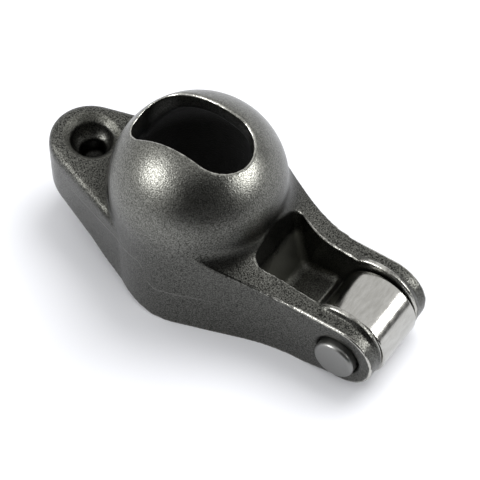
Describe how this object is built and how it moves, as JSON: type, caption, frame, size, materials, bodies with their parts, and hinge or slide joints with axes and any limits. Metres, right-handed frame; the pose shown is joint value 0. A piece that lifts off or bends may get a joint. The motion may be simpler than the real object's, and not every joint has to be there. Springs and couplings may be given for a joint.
{
  "type": "rocker arm",
  "caption": "Cast rocker arm for an overhead-valve engine, with a domed ball seat and stud slot, a pushrod cup and a roller tip on a pin.",
  "frame": {"origin": "centre of the pivot ball's spherical seat", "axes": "+X along the arm to the roller, -X to the pushrod cup, +Y along the roller's pin, +Z out through the stud slot, away from the open rim"},
  "size_m": [0.0737, 0.032, 0.037],
  "materials": {
    "casting": "tumbled cast steel, fine grain, worn bright on its edges",
    "roller": "ground and polished hardened steel",
    "pin": "turned hardened steel, dull end faces"
  },
  "bodies": {
    "arm": {"rocker_body": "casting", "roller_pin": "pin"},
    "roller": {"tip_roller": "roller"}
  },
  "joints": [
    {"name": "roller_spin", "type": "hinge", "parent": "arm", "child": "roller", "pos_m": [0.03525, 0, -0.01495], "axis": [0, 1, 0], "continuous": true}
  ]
}
